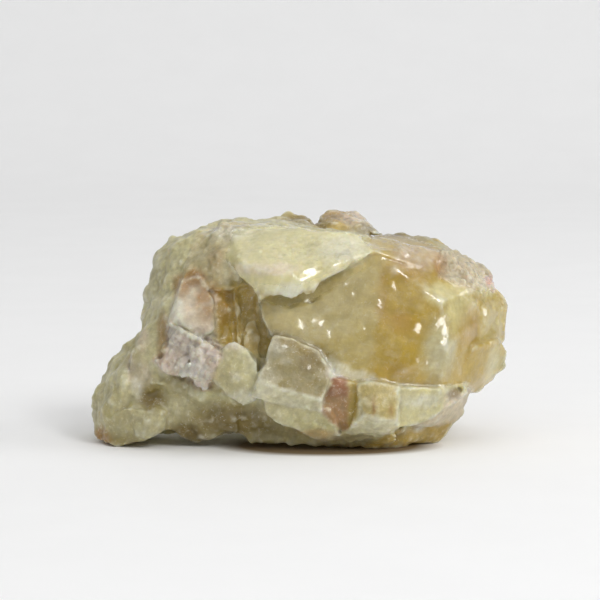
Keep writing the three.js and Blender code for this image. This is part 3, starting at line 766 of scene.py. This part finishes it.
class Board:
    """The nodes of one material, or of the world."""

    def __init__(self, owner):
        self.owner = owner
        owner.use_nodes = True
        self.tree = owner.node_tree
        self.tree.nodes.clear()

    def add(self, kind, settings=None, sockets=None, output=0):
        """A node of any type: its settings first, then the values or links of its sockets."""
        node = self.tree.nodes.new(kind)
        for name, setting in (settings or {}).items():
            if name == "stops":
                self.set_stops(node.color_ramp, setting)
            else:
                setattr(node, name, setting)
        for key, value in (sockets or {}).items():
            if isinstance(value, Value):
                self.tree.links.new(value.socket, node.inputs[key])
            else:
                node.inputs[key].default_value = value
        return Value(self, node.outputs[output]) if node.outputs else None

    def set_stops(self, ramp, stops):
        while len(ramp.elements) < len(stops):
            ramp.elements.new(1)
        for element, (place, value) in zip(ramp.elements, stops):
            element.position = place
            element.color = (value, value, value, 1)

    def attribute(self, name):
        return self.add("ShaderNodeAttribute", {"attribute_name": name}, output="Fac")

    def ramp(self, value, stops):
        return self.add("ShaderNodeValToRGB", {"stops": stops}, {"Fac": value})

    def mix(self, share, first, second, blend="MIX"):
        """Two colours mixed, by a Mix node's sockets for colours."""
        settings = {"data_type": "RGBA", "blend_type": blend, "clamp_factor": True}
        return self.add("ShaderNodeMix", settings, {0: share, 6: first, 7: second}, 2)

    def vector(self, operation, *terms, **sockets):
        sockets = {**dict(enumerate(terms)), **sockets}
        return self.add("ShaderNodeVectorMath", {"operation": operation}, sockets)

    def clamped_sum(self, first, second):
        settings = {"operation": "ADD", "use_clamp": True}
        return self.add("ShaderNodeMath", settings, {0: first, 1: second})

    def noise(self, place, scale, detail=3, roughness=0.55):
        sockets = {"Vector": place, "Scale": scale, "Detail": detail, "Roughness": roughness}
        return self.add("ShaderNodeTexNoise", None, sockets, "Fac")

    def cells(self, place, scale, output="Distance", **settings):
        """Packed grains: how far each place is from its grain's middle, or another output."""
        return self.add("ShaderNodeTexVoronoi", settings, {"Vector": place, "Scale": scale}, output)

    def stretched(self, place, turn, scale):
        sockets = {"Vector": place, "Rotation": turn, "Scale": scale}
        return self.add("ShaderNodeMapping", {"vector_type": "TEXTURE"}, sockets)


def tone(red, green, blue):
    """A colour given as it looks on a screen, from 0 to 255, as the light it stands for."""

    def linear(c):
        c = c / 255
        return c / 12.92 if c <= 0.04045 else ((c + 0.055) / 1.055) ** 2.4

    return (linear(red), linear(green), linear(blue), 1)


GREY_GREEN = tone(230, 221, 172)
SAGE = tone(204, 202, 152)
STRAW = tone(212, 206, 164)
HONEY = tone(204, 172, 60)
PALE = tone(238, 230, 176)
OLIVE = tone(164, 145, 72)
ROSE = tone(241, 222, 204)
RUST = tone(188, 140, 72)
RED = tone(158, 98, 66)
DARK_AND_SHADE = tone(126, 98, 40)
PINK = tone(244, 182, 164)
MILK = tone(252, 252, 236)
DEEP = tone(196, 160, 56)
GROOVE_SHADE = tone(164, 136, 62)

# The tints, each laid over the ones before: the tint, its colour and how far it covers
LAYERS = [
    ("honey", HONEY, 1.0),
    ("grey", STRAW, 1.0),
    ("pale", PALE, 1.0),
    ("rose", ROSE, 1.0),
    ("olive", OLIVE, 1.0),
    ("recess", DEEP, 0.6),
    ("rust", RUST, 1.0),
    ("red", RED, 1.0),
    ("pink", PINK, 1.0),
    # painted shade: the dark tint, laid last, shades holes, clefts and the parts under overhangs;
    # on the main block it darkens the block as a whole
    ("dark", DARK_AND_SHADE, 1.0),
]


def calcite():
    board = Board(bpy.data.materials.new("calcite"))
    place = board.add("ShaderNodeTexCoord", None, None, "Object")
    veils = board.noise(place, 0.12 / MM, detail=5, roughness=0.6)
    fine = board.noise(place, 0.7 / MM, detail=4, roughness=0.6)
    grit = board.noise(place, 2.4 / MM, detail=3, roughness=0.6)
    upright = board.stretched(place, turn=(0.15, 0.35, 0.1), scale=(1, 1, 5))
    threads = board.noise(upright, 1.1 / MM, detail=3, roughness=0.6)
    level = board.stretched(place, turn=(0.05, 0.12, 0.3), scale=(9, 1, 1))
    combing = board.noise(level, 1.6 / MM, detail=3, roughness=0.65)
    glossy = board.attribute("glossy")
    crusty = board.attribute("crusty")
    satin = board.attribute("satin")
    sparkle = board.attribute("sparkling")
    glint = board.attribute("glint")

    # the tints, with ragged borders
    ragged = (fine - 0.5) * 0.5 + (veils - 0.5) * 0.4

    def share(name, reach=1.0):
        amount = board.attribute(name)
        spread = amount * (1 - amount) * 4
        return board.clamped_sum(amount * reach, ragged * spread)

    colour = board.mix(board.ramp(veils, [(0.35, 0), (0.65, 1)]) * 0.5, GREY_GREEN, SAGE)
    for name, tint, reach in LAYERS:
        colour = board.mix(share(name, reach), colour, tint)
    # painted shade: grooves and hollows darkened towards a brown
    colour = board.mix(board.attribute("groove") * 0.45, colour, GROOVE_SHADE)
    colour = board.mix(share("milk") * (0.2 + 1.3 * threads), colour, MILK)
    # painted light: thin parts, edges and outline rims turn milky, standing for light through thin
    # calcite and highlights along edges, partly the frosted white of worn edges
    edge_light_and_wear = board.attribute("thin_rim") * 0.4 + board.attribute("edge_wear") * 0.6
    edge_light_and_wear = edge_light_and_wear + board.attribute("rim") * 0.7
    colour = board.mix(edge_light_and_wear * (0.2 + fine), colour, MILK)

    # flecks, streaks, wisps, mottling and seams
    flecks = board.ramp(grit, [(0.56, 0), (0.66, 1)]) * board.ramp(fine, [(0.48, 0), (0.58, 1)])
    colour = board.mix(flecks * (0.45 - 0.3 * glossy), colour, MILK)
    streaks = board.ramp(threads * 0.5 + combing * 0.5, [(0.35, 0.9), (0.65, 1.06)])
    colour = board.mix(1.0, colour, streaks, "MULTIPLY")
    off_middle = board.add("ShaderNodeMath", {"operation": "ABSOLUTE"}, {0: veils - 0.5})
    wisps = 1 - board.ramp(off_middle, [(0.0, 0), (0.035, 1)])
    colour = board.mix(wisps * fine * 0.15, colour, MILK)
    mottle = board.ramp(veils * 0.55 + fine * 0.45, [(0.38, 0.74), (0.6, 1.1)])
    colour = board.mix(1 - 0.55 * glossy, colour, mottle, "MULTIPLY")
    grains = board.attribute("grain_tone") * 0.55 + board.attribute("flake_tone") * 0.45
    colour = board.mix(1.0, colour, board.ramp(grains, [(0.1, 0.91), (0.9, 1.05)]), "MULTIPLY")
    tilted = board.stretched(place, turn=(0.4, 0.2, 0.6), scale=(1, 1, 2.2))
    seams = board.cells(tilted, 0.33 / MM, feature="DISTANCE_TO_EDGE")
    seams = board.ramp(seams, [(0.0, 1), (0.05, 0)]) * board.ramp(fine, [(0.45, 0), (0.6, 1)])
    colour = board.mix(seams * 0.1 * (1 - glossy), colour, MILK)

    # the finish: small flakes that face every way, and glints that all face one way
    roughness = 0.35 + 0.15 * satin - 0.18 * glossy + 0.1 * crusty + (fine - 0.5) * 0.3
    coat = board.clamped_sum(0.2 + glossy * 0.5 + glint - satin * 0.35, sparkle * 0.8)
    slanted = board.stretched(place, turn=(0.5, 0.3, 0.4), scale=(1, 1, 1.6))
    flakes = board.cells(slanted, 1.0 / MM, output="Color", distance="CHEBYCHEV")
    leaning = board.vector("SUBTRACT", flakes, (0.5, 0.5, 0.5))
    tilt = 0.24 + 0.6 * sparkle + 0.3 * crusty - 0.18 * glossy
    leaning = board.vector("SCALE", leaning, Scale=tilt)
    facing = board.vector("ADD", board.add("ShaderNodeNewGeometry", output="Normal"), leaning)
    facing = board.vector("NORMALIZE", facing)
    facing = board.vector("SCALE", facing, Scale=1 - glint)
    facing = board.vector("ADD", facing, board.vector("SCALE", tuple(MIRRORS), Scale=glint))
    facing = board.vector("NORMALIZE", facing)

    turned = board.stretched(place, turn=(0.5, 0.3, 0.4), scale=(1, 1, 1))
    chipped = board.cells(turned, 0.9 / MM, distance="CHEBYCHEV")
    beads = board.ramp(board.cells(place, 0.85 / MM), [(0.0, 1), (0.42, 0)])
    beads = beads * board.ramp(grit, [(0.45, 0), (0.6, 1)])
    bumps = beads * sparkle * 0.3 + fine * (0.3 + 0.5 * crusty)
    bumps = bumps + grit * (0.2 + 0.5 * crusty - 0.2 * glossy)
    bumps = bumps + threads * 0.15 - chipped * (0.25 - 0.25 * glossy)
    bumps = bumps * (1 - glint)
    sockets = {"Strength": 0.5, "Distance": 0.5 * MM, "Height": bumps, "Normal": facing}
    normal = board.add("ShaderNodeBump", None, sockets)

    surface = board.add(
        "ShaderNodeBsdfPrincipled",
        {"subsurface_method": "RANDOM_WALK"},
        {
            "Base Color": colour,
            "Roughness": roughness,
            # painted glow: a faint emission in the recess and the amber block, standing for light
            # through the stone
            "Emission Color": board.mix(board.attribute("recess"), (0, 0, 0, 1), colour),
            "Emission Strength": 0.1,
            "Normal": normal,
            "IOR": 1.55,
            "Transmission Weight": 0.3,
            "Subsurface Weight": 0.8,
            "Subsurface Radius": (1.0, 0.85, 0.42),
            "Subsurface Scale": 1.7 * MM,
            "Coat Weight": coat,
            "Coat Roughness": 0.07,
        },
    )
    board.add("ShaderNodeOutputMaterial", None, {"Surface": surface})
    return board.owner


# Where a painted amber shadow lies on the floor under the stone, standing for its shade and the
# amber light it lets through: middle and radii, in metres
AMBER_SHADOW_PLACE = (tuple(np.array((6, -9, 0)) * MM), tuple(np.array((23, 14.5, 30)) * MM))

PLASTER = tone(242, 242, 242)
BRUSHED = tone(243, 243, 243)
PAINTED_AMBER_SHADOW = tone(112, 88, 44)


def plaster():
    board = Board(bpy.data.materials.new("pale_plaster"))
    place = board.add("ShaderNodeTexCoord", None, None, "Object")
    strokes = board.noise(place, 0.035 / MM, detail=4, roughness=0.6)
    colour = board.mix(board.ramp(strokes, [(0.4, 0), (0.6, 1)]), PLASTER, BRUSHED)
    middle, radii = AMBER_SHADOW_PLACE
    sockets = {"Vector": place, "Location": middle, "Scale": radii}
    near = board.add("ShaderNodeMapping", {"vector_type": "TEXTURE"}, sockets)
    reach = board.add("ShaderNodeVectorMath", {"operation": "LENGTH"}, {0: near}, "Value")
    # painted shadow: the floor turns dark amber under the stone, standing for its shade and the
    # amber light it lets through
    colour = board.mix(board.ramp(reach, [(0.75, 0.95), (1.0, 0)]), colour, PAINTED_AMBER_SHADOW)
    strokes_relief = {"Strength": 0.02, "Distance": 1.0 * MM, "Height": strokes}
    normal = board.add("ShaderNodeBump", None, strokes_relief)
    finish = {"Base Color": colour, "Roughness": 0.8, "Normal": normal}
    surface = board.add("ShaderNodeBsdfPrincipled", None, finish)
    board.add("ShaderNodeOutputMaterial", None, {"Surface": surface})
    return board.owner


# ---------- floor, lights and camera ----------


def make_backdrop():
    """A floor that curves up into a wall, as one swept sheet."""
    half_width, front, wall, height, bend = 2.2, -1.6, 1.1, 1.8, 0.4
    bend_steps = 16
    sheet = bmesh.new()
    profile = [(front, 0)]
    for step in range(bend_steps + 1):
        angle = math.pi / 2 * step / bend_steps
        profile.append((wall - bend + bend * math.sin(angle), bend - bend * math.cos(angle)))
    profile.append((wall, height))
    points = [sheet.verts.new((-half_width, y, z)) for y, z in profile]
    edges = [sheet.edges.new(pair) for pair in zip(points, points[1:])]
    swept = bmesh.ops.extrude_edge_only(sheet, edges=edges)
    moved = [part for part in swept["geom"] if isinstance(part, bmesh.types.BMVert)]
    bmesh.ops.translate(sheet, verts=moved, vec=(2 * half_width, 0, 0))
    bmesh.ops.recalc_face_normals(sheet, faces=sheet.faces)
    mesh = bpy.data.meshes.new("backdrop")
    sheet.to_mesh(mesh)
    sheet.free()
    for polygon in mesh.polygons:
        polygon.use_smooth = True
    backdrop = bpy.data.objects.new("backdrop", mesh)
    bpy.context.scene.collection.objects.link(backdrop)
    mesh.materials.append(plaster())


# The lamps: name, place and size in metres, and power in watts
LAMPS = [
    ("window", (0.9, -0.15, 0.6), (0.5, 0.5), 2.6),
    ("pane", (0.54, -0.78, 0.72), (0.3, 0.36), 4.8),
    ("overhead", (0.1, 0.15, 1.3), (1.5, 1.5), 3.9),
]
AIM = Vector((0, 0, 0.02))  # what they all point at, near the middle of the stone


def soft_light(name, place, size, power):
    lamp = bpy.data.lights.new(name, "AREA")
    lamp.shape = "RECTANGLE"
    lamp.size, lamp.size_y = size
    lamp.energy = power
    light = bpy.data.objects.new(name, lamp)
    light.location = place
    light.rotation_euler = (AIM - Vector(place)).to_track_quat("-Z", "Y").to_euler()
    bpy.context.scene.collection.objects.link(light)


def light_scene():
    board = Board(bpy.data.worlds.new("daylight"))
    bpy.context.scene.world = board.owner
    direction = board.add("ShaderNodeTexCoord", None, None, "Generated")
    right, back, up = (
        board.add("ShaderNodeSeparateXYZ", None, {"Vector": direction}, axis) for axis in "XYZ"
    )
    front = back.math("MAXIMUM", 0 - back, 0) * board.ramp(up, [(0, 0), (0.5, 1)])
    all_round, from_above, from_front, more_at_right = 0.04, 0.46, 0.7, 0.05
    sky = all_round + from_above * up.math("MAXIMUM", up, 0) + from_front * front
    sky = sky * (1 + more_at_right * right)
    sky = board.add("ShaderNodeBackground", None, {"Color": (1, 1, 1, 1), "Strength": sky})
    board.add("ShaderNodeOutputWorld", None, {"Surface": sky})
    for lamp in LAMPS:
        soft_light(*lamp)


def make_camera():
    """Level with the stone and a little above it, far enough to keep its shape flat."""
    middle = Vector((0.4, 0, 28)) * MM
    distance = 600 * MM
    elevation = math.radians(6)
    lens = bpy.data.cameras.new("camera")
    lens.lens = 180
    lens.sensor_width = 36
    camera = bpy.data.objects.new("camera", lens)
    camera.location = middle + distance * Vector((0, -math.cos(elevation), math.sin(elevation)))
    camera.rotation_euler = (math.pi / 2 - elevation, 0, 0)
    bpy.context.scene.collection.objects.link(camera)
    bpy.context.scene.camera = camera


make_camera()
light_scene()
make_backdrop()
bpy.context.scene.view_settings.view_transform = "Standard"

stone = shape_stone()
describe_stone(stone)
stone.data.materials.append(calcite())
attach(stone, "root")
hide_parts(NODE)
